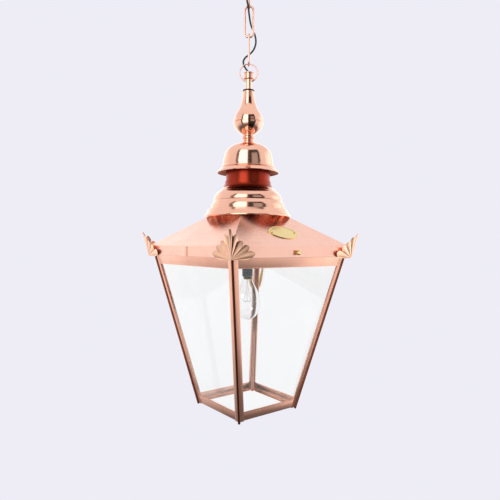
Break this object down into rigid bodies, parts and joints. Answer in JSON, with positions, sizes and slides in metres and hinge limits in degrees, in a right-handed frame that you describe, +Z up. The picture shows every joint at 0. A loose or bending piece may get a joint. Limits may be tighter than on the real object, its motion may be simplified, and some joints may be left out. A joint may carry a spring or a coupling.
{
  "type": "hanging lantern",
  "caption": "Hanging copper lantern: tapered square glazed frame, pyramid roof with corner ears, stepped bell, vented cap and turned finial on a short chain.",
  "frame": {"origin": "centre of the ceiling plate's top face, on the chain's and the lantern's axis", "axes": "+Z up out of the ceiling; the side with the nameplate and thumbscrew faces -Y; the frame's hinge is at +Y"},
  "size_m": [0.3456, 0.3456, 1.0263],
  "materials": {
    "satin_copper": "satin copper sheet, clear lacquered",
    "polished_copper": "turned and polished copper",
    "brass": "brushed brass",
    "steel": "zinc plated steel",
    "filament_wire": "drawn wire and glass stem",
    "black_rubber": "matt black",
    "black_flex": "black sheath",
    "black_phenolic": "gloss black",
    "brown_phenolic": "dark brown",
    "pane_glass": "clear float glass",
    "bulb_glass": "clear blown glass"
  },
  "bodies": {
    "ceiling": {"ceiling_plate": "satin_copper", "ceiling_hook": "satin_copper", "ceiling_screws": "steel", "ceiling_grommet": "black_rubber", "supply_flex": "black_flex"},
    "link_1": {"chain_link_1": "satin_copper"},
    "link_2": {"chain_link_2": "satin_copper"},
    "link_3": {"chain_link_3": "satin_copper"},
    "ring": {"hanging_ring": "satin_copper"},
    "crown": {"cable_collar": "polished_copper", "finial_spindle": "polished_copper", "rubber_washer": "black_rubber", "finial_bell": "polished_copper", "finial_bowl": "polished_copper", "finial_neck": "polished_copper", "stay_tube": "brass", "stay_nuts": "brass", "cap": "satin_copper", "chimney_spider": "brass", "chimney": "satin_copper", "chimney_bell": "satin_copper", "roof": "satin_copper", "skirt_seam": "satin_copper", "nameplate": "brass", "nameplate_screws": "brass", "ear_1": "satin_copper", "ear_2": "satin_copper", "ear_3": "satin_copper", "ear_4": "satin_copper", "ear_rivets": "satin_copper", "lamp_strap": "brass", "lampholder": "black_phenolic", "lampholder_ring": "brown_phenolic", "inner_flex": "black_flex", "hinge_leaf_upper": "satin_copper", "hinge_pin": "steel"},
    "bulb": {"bulb_cap": "brass", "bulb_glass": "bulb_glass", "bulb_filament": "filament_wire"},
    "frame": {"post_1": "satin_copper", "post_2": "satin_copper", "post_3": "satin_copper", "post_4": "satin_copper", "top_rail_front": "satin_copper", "top_rail_right": "satin_copper", "top_rail_back": "satin_copper", "top_rail_left": "satin_copper", "bottom_rail_front": "satin_copper", "bottom_rail_right": "satin_copper", "bottom_rail_back": "satin_copper", "bottom_rail_left": "satin_copper", "pane_front": "pane_glass", "pane_right": "pane_glass", "pane_back": "pane_glass", "pane_left": "pane_glass", "pane_clips": "brass", "hinge_leaf_lower": "satin_copper"},
    "thumbscrew": {"thumbscrew": "brass"}
  },
  "joints": [
    {"name": "hook_swing", "type": "hinge", "parent": "ceiling", "child": "link_1", "pos_m": [0, 0, -0.062], "axis": [0.788, -0.6157, 0], "range_deg": [-25, 25], "deforming": ["supply_flex"]},
    {"name": "link_1_swing", "type": "hinge", "parent": "link_1", "child": "link_2", "pos_m": [0, 0, -0.1252], "axis": [0.6157, 0.788, 0], "range_deg": [-25, 25]},
    {"name": "link_2_swing", "type": "hinge", "parent": "link_2", "child": "link_3", "pos_m": [0, 0, -0.1889], "axis": [0.788, -0.6157, 0], "range_deg": [-25, 25]},
    {"name": "ring_swing", "type": "hinge", "parent": "link_3", "child": "ring", "pos_m": [0, 0, -0.2526], "axis": [0.6157, 0.788, 0], "range_deg": [-25, 25]},
    {"name": "lantern_swing", "type": "hinge", "parent": "ring", "child": "crown", "pos_m": [0, 0, -0.2884], "axis": [0.788, -0.6157, 0], "range_deg": [-18, 18]},
    {"name": "frame_drop", "type": "hinge", "parent": "crown", "child": "frame", "pos_m": [0, 0.16479, -0.68115], "axis": [1, 0, 0], "range_deg": [0, 75]},
    {"name": "bulb_turn", "type": "hinge", "parent": "crown", "child": "bulb", "pos_m": [0, 0, -0.72455], "axis": [0, 0, 1], "continuous": true},
    {"name": "thumbscrew_turn", "type": "hinge", "parent": "crown", "child": "thumbscrew", "pos_m": [0, -0.16239, -0.66805], "axis": [0, 1, 0], "continuous": true}
  ]
}
